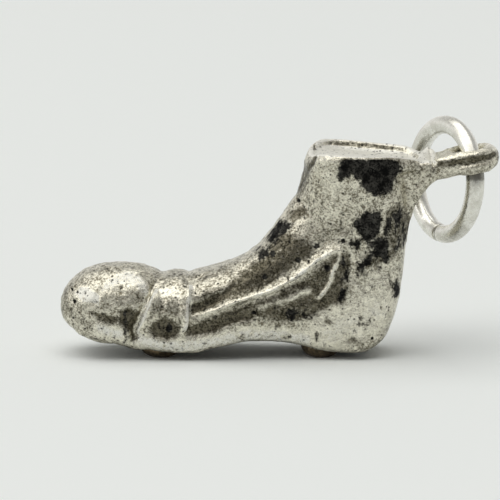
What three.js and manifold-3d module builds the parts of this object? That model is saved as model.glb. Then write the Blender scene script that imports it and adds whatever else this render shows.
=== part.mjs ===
// Football boot charm: a cast boot on four soldered studs, a hanging eye and a loose jump ring.
// Millimetres, +Z up. X runs from the toe to the heel and Y across the boot.
// The boot is drawn with x = 0 at the toe tip and z = 0 at the lowest line of its sole.
import * as THREE from "three";
import { mergeVertices } from "three/addons/utils/BufferGeometryUtils.js";
import Module from "manifold-3d";

const wasm = await Module();
wasm.setup();

// Whole boot
const bootLength = 19.2;
const collarLength = 5.86;
const collarFrontHeight = 10.92;
const collarBackHeight = 10.6;

// Toe and strap, with lengths from the toe tip
const toeLength = 3.0;
const toeTipHeight = 2.3;
const toeTop = 4.62;
const toeLift = 0.5;
const toeHalfWidth = 2.5;
const capSeamTop = 5.64;
const capSeamFoot = 3.9;
const capSeamLift = 0.25;
const strapHeight = 4.24;
const vampSeam = 7.1;
const ballHalfWidth = 2.75;

// Vamp, waist and instep
const vampTop = 4.57;
const vampLift = 0.36;
const waistTop = 5.38;
const archRise = 0.63;
const waistHalfWidth = 2.45;
const instepTop = 6.51;
const instepSetback = 0.55;
const shankRise = 0.5;
const shankLength = 2.0;
const ankleTop = 7.2;
const ankleSetback = 0.85;

// Heel, with lengths forward from the back of the collar
const heelLength = 4.6;
const heelFrontLift = 0.1;
const heelBaseLength = 3.0;
const heelCornerLength = 1.8;
const heelCornerLift = 0.2;
const heelTurnLength = 1.25;
const heelTurnHeight = 1.05;
const heelBackLength = 0.75;
const heelBackHeight = 2.4;
const heelHalfWidth = 2.38;

// Leg and collar
const throatSetback = 0.42;
const throatHeight = 8.5;
const legHalfWidth = 2.32;
const collarHalfWidth = 2.78;
const rimRise = 0.28;
const rimWidth = 0.5;
const dishDepth = 0.55;
const rimRoll = 0.65;
const rimRollLength = 1.2;
const rimRollDepth = 1.7;

// Seams, folds and hollows in the casting
const seamDepth = 0.15;
const seamWidth = 0.24;
const seamPinch = 0.2;
const foldHeight = 0.16;
const foldWidth = 0.3;
const hollowDepth = 0.14;
const hollowWidth = 0.42;
const seamEnd = 0.3;
const seamFull = 1.2;

// Studs
const studHeight = 0.34;
const studLength = 2.16;
const studWidth = 1.7;
const studSpread = 1.05;
const studRoot = 1.5;
const heelStudSetback = 0.36;
const studTreadShare = 0.55;

// Tab behind the collar
const tabReach = 1.4;
const tabDrop = 0.08;
const tabThickness = 1.1;
const tabLength = 4.52;
const tabWidth = 2.6;
const tabFootWidth = 1.0;
const tabBevel = 0.3;
const tabFlare = 0.8;
const tabRoot = 1.4;

// Hanging eye
const eyeReach = 1.65;
const eyeDrop = 0.1;
const eyeThickness = 1.08;
const eyeStrip = 0.62;
const eyeChannel = 0.13;
const eyeEdge = 0.06;
const eyeTilt = THREE.MathUtils.degToRad(9);

// Jump ring
const ringRadius = 3.0;
const wireRadius = 0.5;
const ringSplit = 0.1;
const ringSplitAngle = THREE.MathUtils.degToRad(-88);
const ringDrop = 1.5;
const wireShift = 0.25;
const ringYaw = THREE.MathUtils.degToRad(119.5);
const ringRoll = THREE.MathUtils.degToRad(3.5);

// Clearances
const solderGap = 0.03;
const wireClearance = 0.05;

const silver = { color: 0xb9b6ac, roughness: 0.4, metalness: 1 };
const brass = { color: 0x8a7550, roughness: 0.45, metalness: 1 };
const brightSilver = { color: 0xdcdcd8, roughness: 0.18, metalness: 1 };

const { lerp, smoothstep, degToRad } = THREE.MathUtils;

function piece(name, geometry, finish) {
  const mesh = new THREE.Mesh(geometry, new THREE.MeshStandardMaterial(finish));
  mesh.name = name;
  return mesh;
}

function solid(geometry) {
  const bare = geometry.clone();
  bare.deleteAttribute("normal");
  bare.deleteAttribute("uv");
  const merged = mergeVertices(bare, 1e-5);
  return new wasm.Manifold(new wasm.Mesh({
    numProp: 3,
    vertProperties: new Float32Array(merged.attributes.position.array),
    triVerts: new Uint32Array(merged.index.array),
  }));
}

function geometryOf(body) {
  const mesh = body.getMesh();
  const geometry = new THREE.BufferGeometry();
  geometry.setAttribute("position", new THREE.BufferAttribute(new Float32Array(mesh.vertProperties), 3));
  geometry.setIndex(new THREE.BufferAttribute(new Uint32Array(mesh.triVerts), 1));
  geometry.computeVertexNormals();
  return geometry;
}

// Places along the boot
const collarFrontX = bootLength - collarLength;
const throatX = collarFrontX - throatSetback;
const ankleX = throatX - ankleSetback;
const instepX = ankleX - instepSetback;
const vampX = lerp(vampSeam, ankleX, 0.33);
const waistX = lerp(vampSeam, ankleX, 0.68);
const heelFrontX = bootLength - heelLength;
const shankX = heelFrontX - shankLength;
const heelBackX = bootLength - heelBackLength;
const ballStudX = lerp(capSeamFoot, vampSeam, 0.51);
const heelStudX = heelFrontX - heelStudSetback;

// Front of the ankle between the instep and the throat, and the curves of the leg's front and back
const ankleFront = (share) => [lerp(ankleX, throatX, share), lerp(ankleTop, throatHeight, share)];
const legFront = (share) => [
  lerp(throatX, collarFrontX, 1 - (1 - share) ** 2),
  lerp(throatHeight, collarFrontHeight, share),
];
const legBack = (share) => [
  lerp(heelBackX, bootLength, 1 - (1 - share) ** 1.7),
  lerp(heelBackHeight, collarBackHeight, share),
];

// Stations along the boot. Each is a line from the sole or back outline up to the top or front outline.
// half is the section's half width, belly the place on the line where it is widest, from -1 at the sole
// to 1 at the top, square the squareness of its lower part, and rings its sections up to the next station.
const stations = [
  { name: "toe", upper: [toeLength, toeTop], lower: [toeLength, toeLift], half: toeHalfWidth, rings: 4 },
  {
    name: "cap",
    upper: [lerp(toeLength, capSeamTop, 0.55), lerp(toeTop, strapHeight, 0.16)],
    lower: [lerp(toeLength, capSeamFoot, 0.55), lerp(toeLift, capSeamLift, 0.55)],
    half: lerp(toeHalfWidth, ballHalfWidth, 0.25),
    rings: 5,
  },
  {
    name: "capSeam",
    upper: [capSeamTop, strapHeight],
    lower: [capSeamFoot, capSeamLift],
    half: lerp(toeHalfWidth, ballHalfWidth, 0.5) - seamPinch,
    rings: 5,
  },
  {
    name: "strap",
    upper: [lerp(capSeamTop, vampSeam, 0.5), strapHeight],
    lower: [lerp(capSeamFoot, vampSeam, 0.5), lerp(capSeamLift, 0, 0.5)],
    half: lerp(toeHalfWidth, ballHalfWidth, 0.8),
    rings: 5,
  },
  {
    name: "vampSeam",
    upper: [vampSeam, strapHeight],
    lower: [vampSeam, 0],
    half: ballHalfWidth - 0.5 * seamPinch,
    rings: 5,
  },
  {
    name: "vamp",
    upper: [vampX, vampTop],
    lower: [vampX, vampLift],
    half: lerp(ballHalfWidth, waistHalfWidth, 0.2),
    rings: 5,
  },
  { name: "waist", upper: [waistX, waistTop], lower: [waistX, archRise], half: waistHalfWidth, rings: 4 },
  {
    name: "instep",
    upper: [instepX, instepTop],
    lower: [shankX, shankRise],
    half: lerp(waistHalfWidth, heelHalfWidth, 0.8),
    square: 4.2,
    rings: 4,
  },
  {
    name: "ankle",
    upper: ankleFront(0),
    lower: [heelFrontX, heelFrontLift],
    half: heelHalfWidth,
    square: 5.5,
    rings: 3,
  },
  {
    name: "heelBase",
    upper: ankleFront(0.4),
    lower: [bootLength - heelBaseLength, 0],
    half: heelHalfWidth,
    square: 6,
    rings: 3,
  },
  {
    name: "heelCorner",
    upper: ankleFront(0.62),
    lower: [bootLength - heelCornerLength, heelCornerLift],
    half: lerp(heelHalfWidth, legHalfWidth, 0.5),
    square: 5,
    rings: 3,
  },
  {
    name: "heelTurn",
    upper: ankleFront(0.8),
    lower: [bootLength - heelTurnLength, heelTurnHeight],
    half: legHalfWidth,
    square: 3.8,
    rings: 3,
  },
  { name: "heelBack", upper: legFront(0), lower: legBack(0), half: legHalfWidth, square: 3, rings: 3 },
  {
    name: "shin",
    upper: legFront(0.17),
    lower: legBack(0.23),
    half: legHalfWidth,
    belly: 0,
    square: 2.6,
    rings: 3,
  },
  {
    name: "leg",
    upper: legFront(0.41),
    lower: legBack(0.51),
    half: lerp(legHalfWidth, collarHalfWidth, 0.4),
    belly: 0.1,
    square: 2.3,
    rings: 4,
  },
  {
    name: "cuff",
    upper: legFront(0.68),
    lower: legBack(0.77),
    half: lerp(legHalfWidth, collarHalfWidth, 0.8),
    belly: 0.25,
    square: 2,
    rings: 4,
  },
  { name: "collar", upper: legFront(1), lower: legBack(1), half: collarHalfWidth, belly: 0.35, square: 1.8 },
];
const footBellyShare = -0.15;
const soleSquareRatio = 4.4;
const topSquareRatio = 2.3;
const at = Object.fromEntries(stations.map((station, i) => [station.name, i]));

const through = (place) => new THREE.CatmullRomCurve3(stations.map(place));
const upperLine = through(({ upper }) => new THREE.Vector3(upper[0], 0, upper[1]));
const lowerLine = through(({ lower }) => new THREE.Vector3(lower[0], 0, lower[1]));
const sectionLine = through(({ half, belly = footBellyShare, square = soleSquareRatio }) => (
  new THREE.Vector3(half, belly, square)
));

// Point in the boot's middle plane on the line of a station number, from -1 at the sole to 1 at the top
function onStation(number, along) {
  const t = number / (stations.length - 1);
  return lowerLine.getPoint(t).lerp(upperLine.getPoint(t), (along + 1) / 2);
}

// Lines of relief as [station number, place along the station], alike on both sides of the boot
const seams = [
  [[at.capSeam, -1], [at.capSeam - 0.2, -0.2], [at.capSeam - 0.15, 0.5], [at.capSeam, 1]],
  [[at.vampSeam, -1], [at.vampSeam, 1]],
];
const folds = [
  [
    [at.vamp + 0.3, 0.12],
    [at.waist + 0.6, 0.08],
    [at.instep + 0.7, 0.17],
    [at.heelBase + 0.7, 0.3],
    [at.heelTurn + 0.5, 0.21],
  ],
  [[at.waist, -0.2], [at.instep + 0.2, -0.15], [at.instep + 0.9, -0.05]],
  [
    [at.heelBack + 0.6, 0.1],
    [at.heelTurn + 0.4, 0.12],
    [at.heelCorner + 0.2, 0.05],
    [at.heelBase + 0.3, -0.1],
  ],
];
const hollows = [
  [[at.cap + 0.9, -0.4], [at.strap + 0.3, -0.35]],
  [[at.vampSeam + 0.3, -0.4], [at.waist, -0.2]],
  [[at.vampSeam + 0.3, 0.15], [at.vamp, 0.25]],
  [[at.ankle, -0.2], [at.heelBase + 0.1, -0.4]],
  [[at.heelCorner + 0.6, 0], [at.heelTurn + 0.4, -0.15]],
];
const relief = [
  ...seams.map((line) => ({ line, height: -seamDepth, width: seamWidth, goesOver: true })),
  ...folds.map((line) => ({ line, height: foldHeight, width: foldWidth })),
  ...hollows.map((line) => ({ line, height: -hollowDepth, width: hollowWidth })),
].map((feature) => ({ ...feature, points: feature.line.map((place) => onStation(...place)) }));

function distanceTo(points, point) {
  const flat = new THREE.Vector3(point.x, 0, point.z);
  const nearest = new THREE.Vector3();
  let least = Infinity;
  for (let i = 0; i + 1 < points.length; i++) {
    new THREE.Line3(points[i], points[i + 1]).closestPointToPoint(flat, true, nearest);
    least = Math.min(least, nearest.distanceTo(flat));
  }
  return least;
}

// Seams run over the top and fade out at the sole, folds and hollows stay on the sides
function reliefAt(point, normal) {
  const onSide = smoothstep(Math.abs(normal.y), 0.2, 0.7);
  const aboveSole = smoothstep(point.z, seamEnd, seamFull);
  return relief.reduce((sum, feature) => {
    const falloff = Math.exp(-((distanceTo(feature.points, point) / feature.width) ** 2));
    return sum + feature.height * falloff * (feature.goesOver ? aboveSole : onSide);
  }, 0);
}

const pointsAround = 44;
const domeRings = 8;

// One section of the boot, a superellipse about its station's line
function section(upper, lower, half, belly, square) {
  const ring = [];
  for (let j = 0; j < pointsAround; j++) {
    const angle = (2 * Math.PI * j) / pointsAround;
    const power = 2 / (Math.sin(angle) > 0 ? topSquareRatio : square);
    const side = Math.sign(Math.cos(angle)) * Math.abs(Math.cos(angle)) ** power;
    const rise = Math.sign(Math.sin(angle)) * Math.abs(Math.sin(angle)) ** power;
    const along = belly + rise * (rise > 0 ? 1 - belly : 1 + belly);
    const point = lower.clone().lerp(upper, (along + 1) / 2);
    point.y = half * side;
    ring.push(point);
  }
  return ring;
}

// The toe is a quarter of an ellipse in side view and in plan
function toeSections() {
  const rings = [];
  for (let i = 1; i < domeRings; i++) {
    const angle = (Math.PI / 2) * (i / domeRings);
    const growth = Math.sin(angle);
    const x = toeLength * (1 - Math.cos(angle));
    const upper = new THREE.Vector3(x, 0, lerp(toeTipHeight, toeTop, growth));
    const lower = new THREE.Vector3(x, 0, lerp(toeTipHeight, toeLift, growth));
    rings.push(section(upper, lower, toeHalfWidth * growth, footBellyShare, lerp(2, soleSquareRatio, growth)));
  }
  return rings;
}

function bodySections() {
  const rings = [];
  stations.forEach((station, i) => {
    const count = station.rings ?? 1;
    for (let k = 0; k < count; k++) {
      const t = (i + k / count) / (stations.length - 1);
      rings.push(section(upperLine.getPoint(t), lowerLine.getPoint(t), ...sectionLine.getPoint(t)));
    }
  });
  return rings;
}

// The collar's rim rises from its outer edge, and the mouth inside it is a shallow dish
function mouthSections(edge) {
  const middle = onStation(at.collar, 0);
  const halfLength = collarLength / 2;
  const steps = [
    { inset: 0.3 * rimWidth, rise: 0.85 * rimRise },
    { inset: 0.6 * rimWidth, rise: rimRise },
    { inset: 0.9 * rimWidth, rise: rimRise - 0.2 * dishDepth },
    { inset: 1.15 * rimWidth, rise: rimRise - 0.62 * dishDepth },
    { inset: 1.7 * rimWidth, rise: rimRise - 0.88 * dishDepth },
    { inset: 3 * rimWidth, rise: rimRise - dishDepth },
  ];
  return steps.map(({ inset, rise }) => edge.map((point) => new THREE.Vector3(
    middle.x + (point.x - middle.x) * (1 - inset / halfLength),
    point.y * (1 - inset / collarHalfWidth),
    middle.z + (point.z - middle.z) * (1 - inset / halfLength) + rise,
  )));
}

// The collar's front rolls over and down
function rollAt(point) {
  const toFront = Math.max(0, 1 - (point.x - collarFrontX) / rimRollLength);
  return rimRoll * toFront ** 2 * smoothstep(point.z, collarFrontHeight - rimRollDepth, collarFrontHeight);
}

// Closed skin over rings of points, drawn to a point at either end
function skin(start, rings, end) {
  const points = [start, ...rings.flat(), end];
  const last = points.length - 1;
  const index = [];
  for (let j = 0; j < pointsAround; j++) {
    const next = (j + 1) % pointsAround;
    index.push(0, 1 + next, 1 + j);
    for (let i = 0; i + 1 < rings.length; i++) {
      const near = 1 + i * pointsAround;
      const far = near + pointsAround;
      index.push(near + j, near + next, far + next, near + j, far + next, far + j);
    }
    const rim = 1 + (rings.length - 1) * pointsAround;
    index.push(rim + j, rim + next, last);
  }
  const geometry = new THREE.BufferGeometry();
  geometry.setFromPoints(points);
  geometry.setIndex(index);
  geometry.computeVertexNormals();
  return geometry;
}

// The boot's skin with its relief, grown outwards by a clearance where it cuts another piece
function bootSkin(grow) {
  const outside = [...toeSections(), ...bodySections()];
  const rings = [...outside, ...mouthSections(outside.at(-1))];
  const dish = onStation(at.collar, 0);
  dish.z += rimRise - dishDepth;
  const geometry = skin(new THREE.Vector3(0, 0, toeTipHeight), rings, dish);
  const position = geometry.attributes.position;
  const normals = geometry.attributes.normal;
  for (let i = 0; i < position.count; i++) {
    const point = new THREE.Vector3().fromBufferAttribute(position, i);
    const normal = new THREE.Vector3().fromBufferAttribute(normals, i);
    const roll = rollAt(point);
    point.addScaledVector(normal, grow + reliefAt(point, normal));
    position.setXYZ(i, point.x, point.y, point.z - roll);
  }
  return geometry;
}

// Profile in the boot's middle plane, swept across it to a width with rounded edges
function acrossBoot(shape, width, bevel) {
  const geometry = new THREE.ExtrudeGeometry(shape, {
    depth: width - 2 * bevel,
    bevelSize: bevel,
    bevelThickness: bevel,
    bevelOffset: -bevel,
    bevelSegments: 3,
    curveSegments: 8,
  });
  geometry.translate(0, 0, bevel - width / 2);
  geometry.rotateX(Math.PI / 2);
  return geometry;
}

// Tab that the back of the leg flares into, narrow at its foot and with a flat end face for the eye
const tabEnd = bootLength + tabReach;
const tabTop = collarBackHeight - tabDrop;
const tabUnder = tabTop - tabThickness;
const tabFoot = tabTop - tabLength;
function tab() {
  const root = bootLength - tabRoot;
  const crest = [bootLength - 0.4 * rimWidth, collarBackHeight + 0.8 * rimRise];
  const [footX] = legBack((tabFoot - heelBackHeight) / (collarBackHeight - heelBackHeight));
  const shape = new THREE.Shape();
  shape.moveTo(root, tabFoot);
  shape.lineTo(footX, tabFoot);
  shape.quadraticCurveTo(footX + 0.2 * tabReach, tabUnder - tabFlare, tabEnd, tabUnder);
  shape.lineTo(tabEnd, tabTop);
  shape.quadraticCurveTo(tabEnd - 0.4 * tabReach, tabTop, ...crest);
  shape.lineTo(root, collarBackHeight - dishDepth);
  const geometry = acrossBoot(shape, tabWidth, tabBevel);
  const position = geometry.attributes.position;
  for (let i = 0; i < position.count; i++) {
    const spread = smoothstep(position.getZ(i), tabFoot, tabUnder);
    position.setY(i, position.getY(i) * lerp(tabFootWidth / tabWidth, 1, spread));
  }
  return geometry;
}

// The eye lies in its own tilted frame, and the ring hangs through it with its wire a little off the middle
const eyeX = tabEnd + eyeReach;
const eyeHeight = tabTop - eyeDrop;
const eyeFrame = new THREE.Matrix4().makeRotationY(-eyeTilt).setPosition(eyeX, 0, eyeHeight);
const ringOffset = Math.sqrt(ringRadius ** 2 - ringDrop ** 2) - wireShift;
const ringX = eyeX + ringOffset * Math.cos(ringYaw);
const ringY = ringOffset * Math.sin(ringYaw);
const ringFrame = new THREE.Matrix4()
  .makeRotationFromEuler(new THREE.Euler(ringRoll, 0, ringYaw, "ZYX"))
  .setPosition(ringX, ringY, eyeHeight - ringDrop);

// Furthest that the leaning wire gets from the eye's axis inside the loop, less the rounding of the loop's
// inner wall at that height
function wireReach() {
  const toEye = eyeFrame.clone().invert().multiply(ringFrame);
  let reach = 0;
  for (let along = 90; along < 180; along += 1) {
    for (let around = 0; around < 360; around += 10) {
      const radius = ringRadius + wireRadius * Math.cos(degToRad(around));
      const point = new THREE.Vector3(
        radius * Math.cos(degToRad(along)),
        wireRadius * Math.sin(degToRad(around)),
        radius * Math.sin(degToRad(along)),
      );
      point.applyMatrix4(toEye);
      const height = (2 * point.z) / eyeThickness;
      if (Math.abs(height) < 1) {
        const recess = (eyeStrip / 2) * (1 - Math.sqrt(1 - height ** 2));
        reach = Math.max(reach, Math.hypot(point.x, point.y) - recess);
      }
    }
  }
  return reach;
}
const holeRadius = wireReach() + wireClearance;

// Shapes turned about Y are stood up along the eye's axis
function placeOnEye(geometry) {
  geometry.rotateX(Math.PI / 2);
  geometry.applyMatrix4(eyeFrame);
  return geometry;
}

// Loop of the eye: round inside, with a channel along both sides of its outer face that ends before its tip
function eyeLoop() {
  const middle = holeRadius + eyeStrip / 2;
  const outer = holeRadius + eyeStrip;
  const half = eyeThickness / 2;
  const channelLow = -0.2 * half;
  const channelHigh = 0.1 * half;
  const profile = [
    new THREE.Vector2(outer - eyeEdge, -0.85 * half),
    new THREE.Vector2(outer, -0.6 * half),
    new THREE.Vector2(outer, channelLow),
    new THREE.Vector2(outer, channelHigh),
    new THREE.Vector2(outer, 0.55 * half),
    new THREE.Vector2(outer - eyeEdge, 0.8 * half),
  ];
  for (let angle = 90; angle >= -90; angle -= 22.5) {
    const turn = degToRad(angle);
    profile.push(new THREE.Vector2(middle - (eyeStrip / 2) * Math.cos(turn), half * Math.sin(turn)));
  }
  profile.push(profile[0].clone());
  const geometry = new THREE.LatheGeometry(profile, 32);
  const position = geometry.attributes.position;
  for (let i = 0; i < position.count; i++) {
    const [x, y, z] = new THREE.Vector3().fromBufferAttribute(position, i);
    const radius = Math.hypot(x, z);
    if (radius > middle && y > channelLow - eyeEdge && y < channelHigh + eyeEdge) {
      const keep = 1 - (eyeChannel / radius) * smoothstep(Math.abs(z) / radius, 0.3, 0.8);
      position.setXYZ(i, x * keep, y, z * keep);
    }
  }
  return placeOnEye(geometry);
}

// Neck between the loop and the tab's end face, cut back to clear the hole
function eyeNeck() {
  const root = tabEnd + solderGap;
  const half = 0.42 * eyeThickness;
  const bend = lerp(root, eyeX, 0.3);
  const shape = new THREE.Shape();
  shape.moveTo(root, tabUnder);
  shape.lineTo(eyeX, eyeHeight - half);
  shape.lineTo(eyeX, eyeHeight + half);
  shape.lineTo(bend, eyeHeight + half - (eyeX - bend) * Math.tan(eyeTilt));
  shape.lineTo(root, tabTop);
  const bite = holeRadius + 0.6 * eyeStrip;
  const bore = new THREE.CylinderGeometry(bite, bite, 4 * eyeThickness, 32);
  return solid(acrossBoot(shape, tabWidth, tabBevel)).subtract(solid(placeOnEye(bore)));
}

// Low oval stud, flat under its middle and with its top cut to the sole
function stud(x, y) {
  const half = studLength / 2;
  const profile = [new THREE.Vector2(0, -studHeight)];
  for (let angle = 0; angle <= 90; angle += 22.5) {
    const turn = degToRad(angle);
    const radius = half * lerp(studTreadShare, 1, Math.sin(turn));
    profile.push(new THREE.Vector2(radius, -studHeight * Math.cos(turn)));
  }
  profile.push(new THREE.Vector2(half, studRoot));
  profile.push(new THREE.Vector2(0, studRoot));
  const geometry = new THREE.LatheGeometry(profile, 24);
  geometry.rotateX(Math.PI / 2);
  geometry.scale(1, studWidth / studLength, 1);
  geometry.translate(x, y, 0);
  return geometry;
}

class RingCurve extends THREE.Curve {
  getPoint(t, target = new THREE.Vector3()) {
    const gap = ringSplit / ringRadius;
    const angle = ringSplitAngle + gap / 2 + t * (2 * Math.PI - gap);
    return target.set(ringRadius * Math.cos(angle), 0, ringRadius * Math.sin(angle));
  }
}

function jumpRing() {
  const wire = new THREE.Shape().absarc(0, 0, wireRadius, 0, 2 * Math.PI);
  return new THREE.ExtrudeGeometry(wire, { steps: 48, curveSegments: 7, extrudePath: new RingCurve() });
}

const charm = new THREE.Group();
const standing = new THREE.Group();
charm.add(standing);

const casting = solid(bootSkin(0)).add(solid(tab()));
standing.add(piece("boot_casting", geometryOf(casting), silver));

const sole = solid(bootSkin(solderGap));
for (const [place, x] of [["ball", ballStudX], ["heel", heelStudX]]) {
  for (const [side, y] of [["near", -studSpread], ["far", studSpread]]) {
    const seated = solid(stud(x, y)).subtract(sole);
    standing.add(piece(`${place}_stud_${side}`, geometryOf(seated), brass));
  }
}

const eye = eyeNeck().add(solid(eyeLoop()));
standing.add(piece("hanging_eye", geometryOf(eye), silver));

const ring = piece("jump_ring", jumpRing(), brightSilver);
ring.applyMatrix4(ringFrame);
standing.add(ring);

// The origin lies under the middle of the charm's box, on the surface that the studs stand on
const middle = new THREE.Box3().setFromObject(standing, true).getCenter(new THREE.Vector3());
standing.position.set(-middle.x, -middle.y, studHeight);

export default charm;
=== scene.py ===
import math

import bpy
import numpy as np
from mathutils import Matrix, Vector


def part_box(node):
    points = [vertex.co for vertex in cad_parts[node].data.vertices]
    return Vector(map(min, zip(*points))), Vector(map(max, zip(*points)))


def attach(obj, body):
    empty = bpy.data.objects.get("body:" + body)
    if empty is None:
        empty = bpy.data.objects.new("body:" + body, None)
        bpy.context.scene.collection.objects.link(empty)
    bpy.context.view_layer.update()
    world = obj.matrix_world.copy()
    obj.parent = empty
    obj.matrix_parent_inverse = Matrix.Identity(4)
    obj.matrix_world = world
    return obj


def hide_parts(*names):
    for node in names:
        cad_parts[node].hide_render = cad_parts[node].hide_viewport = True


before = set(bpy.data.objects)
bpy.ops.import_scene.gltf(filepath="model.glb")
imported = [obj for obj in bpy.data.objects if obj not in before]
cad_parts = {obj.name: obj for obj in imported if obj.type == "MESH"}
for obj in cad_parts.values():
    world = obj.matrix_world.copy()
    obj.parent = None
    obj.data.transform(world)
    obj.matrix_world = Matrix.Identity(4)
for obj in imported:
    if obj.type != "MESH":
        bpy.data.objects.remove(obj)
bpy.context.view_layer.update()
scene = bpy.context.scene
scene.view_settings.view_transform = "Standard"

# shapes are worked out in mm: x from the toe tip, y from the boot's middle plane, z from its sole
bootLow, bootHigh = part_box("boot_casting")
bootOrigin = np.array([bootLow.x, (bootLow.y + bootHigh.y) / 2, bootLow.z])


def toRow(points):
    return np.asarray(points, float) / 1000 + bootOrigin


# Smooth step from 0 at low to 1 at high, either of which may be the larger
def fade(values, low, high):
    share = np.clip((values - low) / (high - low), 0, 1)
    return share * share * (3 - 2 * share)


def between(first, last, share):
    return first + (last - first) * share


# Camera: long lens from the boot's near side
cameraSetup = {
    "aim": (10.382, 0.0, 5.355),
    "elevation": 10.5,
    "distance": 200.0,
    "frameWidth": 27.25,  # mm across the picture at the boot's middle plane
    "sensor": 36.0,
    "clip": (0.005, 10.0),  # m
}


def addCamera(setup):
    rise = math.radians(setup["elevation"])
    aim = Vector(toRow(setup["aim"]))
    back = Vector((0, -math.cos(rise), math.sin(rise))) * setup["distance"] / 1000
    data = bpy.data.cameras.new("camera")
    data.sensor_width = setup["sensor"]
    data.lens = setup["sensor"] * setup["distance"] / setup["frameWidth"]
    data.clip_start, data.clip_end = setup["clip"]
    camera = bpy.data.objects.new("camera", data)
    camera.location = aim + back
    camera.rotation_euler = (-back).to_track_quat("-Z", "Y").to_euler()
    scene.collection.objects.link(camera)
    scene.camera = camera


addCamera(cameraSetup)
print("camera placed")


# Node helpers
def setInputs(tree, item, inputs):
    for key, value in inputs.items():
        if isinstance(value, bpy.types.NodeSocket):
            tree.links.new(value, item.inputs[key])
        else:
            item.inputs[key].default_value = value


def addNode(tree, kind, inputs=None, **settings):
    item = tree.nodes.new(kind)
    for key, value in settings.items():
        setattr(item, key, value)
    setInputs(tree, item, inputs or {})
    return item


def calc(tree, operation, first, second=0.0, third=0.0):
    return addNode(tree, "ShaderNodeMath", {0: first, 1: second, 2: third}, operation=operation).outputs[0]


def stretch(tree, value, low, high, newLow=0.0, newHigh=1.0):
    inputs = {"Value": value, "From Min": low, "From Max": high, "To Min": newLow, "To Max": newHigh}
    return addNode(tree, "ShaderNodeMapRange", inputs, interpolation_type="SMOOTHSTEP").outputs[0]


def weigh(tree, *pairs):
    total = 0.0
    for value, share in pairs:
        total = calc(tree, "MULTIPLY_ADD", value, share, total)
    return total


def blendColour(tree, share, first, second):
    ends = {6: first, 7: second}
    ends = {key: (*value, 1) if isinstance(value, tuple) else value for key, value in ends.items()}
    return addNode(tree, "ShaderNodeMix", {0: share, **ends}, data_type="RGBA").outputs[2]


def newGroup(name, inputs, outputs):
    group = bpy.data.node_groups.new(name, "ShaderNodeTree")
    for label, value in inputs.items():
        socket = group.interface.new_socket(label, in_out="INPUT", socket_type="NodeSocketFloat")
        socket.default_value = value
    for label in outputs:
        group.interface.new_socket(label, in_out="OUTPUT", socket_type="NodeSocketFloat")
    return group, group.nodes.new("NodeGroupInput").outputs, group.nodes.new("NodeGroupOutput").inputs


def useGroup(tree, group, inputs):
    item = addNode(tree, "ShaderNodeGroup", node_tree=group)
    setInputs(tree, item, inputs)
    return item.outputs


def millimetres(tree, size=1.0):
    place = tree.nodes.new("ShaderNodeTexCoord").outputs["Object"]
    scale = calc(tree, "DIVIDE", 1000.0, size)
    return addNode(tree, "ShaderNodeVectorMath", {0: place, "Scale": scale}, operation="SCALE").outputs[0]


def noiseAt(tree, place, scale, detail, roughness):
    inputs = {"Vector": place, "Scale": scale, "Detail": detail, "Roughness": roughness}
    return addNode(tree, "ShaderNodeTexNoise", inputs).outputs[0]


# Distance from the middle of the nearest random cell, and a random value that the cell has
def cellsAt(tree, place, scale):
    cells = addNode(tree, "ShaderNodeTexVoronoi", {"Vector": place, "Scale": scale}).outputs
    chance = addNode(tree, "ShaderNodeSeparateColor", {0: cells["Color"]}).outputs[0]
    return cells["Distance"], chance


# Cast grain: mottling, fine specks and pinholes of a rough casting. Scales are in cells per mm
grainSetup = {
    "mottle": {"noise": (2.2, 4.0, 0.66), "range": (0.32, 0.68)},  # a noise is scale, detail and roughness
    "grains": [(16.0, 0.4), (9.0, 0.3)],  # scale and share
    "dust": {"noise": (11.0, 3.0, 0.7), "share": 0.3},
    "specks": {"mottle": 0.1, "range": (0.35, 0.66)},
    "pits": {"scale": 2.8, "radius": (0.1, 0.22), "free": 0.5},  # free is the share of cells without a pit
    "heights": (0.6, 0.5, -1.0),  # of mottling, grain and pits
}


def castGrainGroup(setup):
    group, given, result = newGroup("castGrain", {"Size": 1.0}, ["Mottle", "Specks", "Pits", "Height"])
    place = millimetres(group, given["Size"])
    mottle = stretch(group, noiseAt(group, place, *setup["mottle"]["noise"]), *setup["mottle"]["range"])
    fine = weigh(group, *[(cellsAt(group, place, scale)[1], share) for scale, share in setup["grains"]])
    dust = noiseAt(group, place, *setup["dust"]["noise"])
    fine = weigh(group, (fine, 1.0), (dust, setup["dust"]["share"]))
    specks = weigh(group, (fine, 1.0), (mottle, setup["specks"]["mottle"]))
    specks = stretch(group, specks, *setup["specks"]["range"])
    away, chance = cellsAt(group, place, setup["pits"]["scale"])
    pits = stretch(group, away, *setup["pits"]["radius"], 1.0, 0.0)
    pits = calc(group, "MULTIPLY", pits, calc(group, "GREATER_THAN", chance, setup["pits"]["free"]))
    height = weigh(group, *zip((mottle, fine, pits), setup["heights"]))
    for label, value in (("Mottle", mottle), ("Specks", specks), ("Pits", pits), ("Height", height)):
        group.links.new(value, result[label])
    return group


# Ragged edge: turns a soft field on the mesh into a patch with a broken outline
def raggedEdgeGroup():
    group, given, result = newGroup("raggedEdge", {"Field": 0.0, "Ragged": 0.6, "Soft": 0.08}, ["Mask"])
    noise = noiseAt(group, millimetres(group), scale=4.2, detail=6.0, roughness=0.8)
    broken = calc(group, "SUBTRACT", noise, 0.5)
    field = calc(group, "MULTIPLY_ADD", broken, given["Ragged"], given["Field"])
    low = calc(group, "MULTIPLY", given["Soft"], -1.0)
    group.links.new(stretch(group, field, low, given["Soft"]), result["Mask"])
    return group


castGrain = castGrainGroup(grainSetup)
raggedEdge = raggedEdgeGroup()
print("node groups built")


def newMaterial(name):
    material = bpy.data.materials.new(name)
    material.use_nodes = True
    tree = material.node_tree
    return material, tree, tree.nodes["Principled BSDF"].inputs


def fieldOf(tree, name):
    return addNode(tree, "ShaderNodeAttribute", attribute_name=name).outputs["Fac"]


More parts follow.
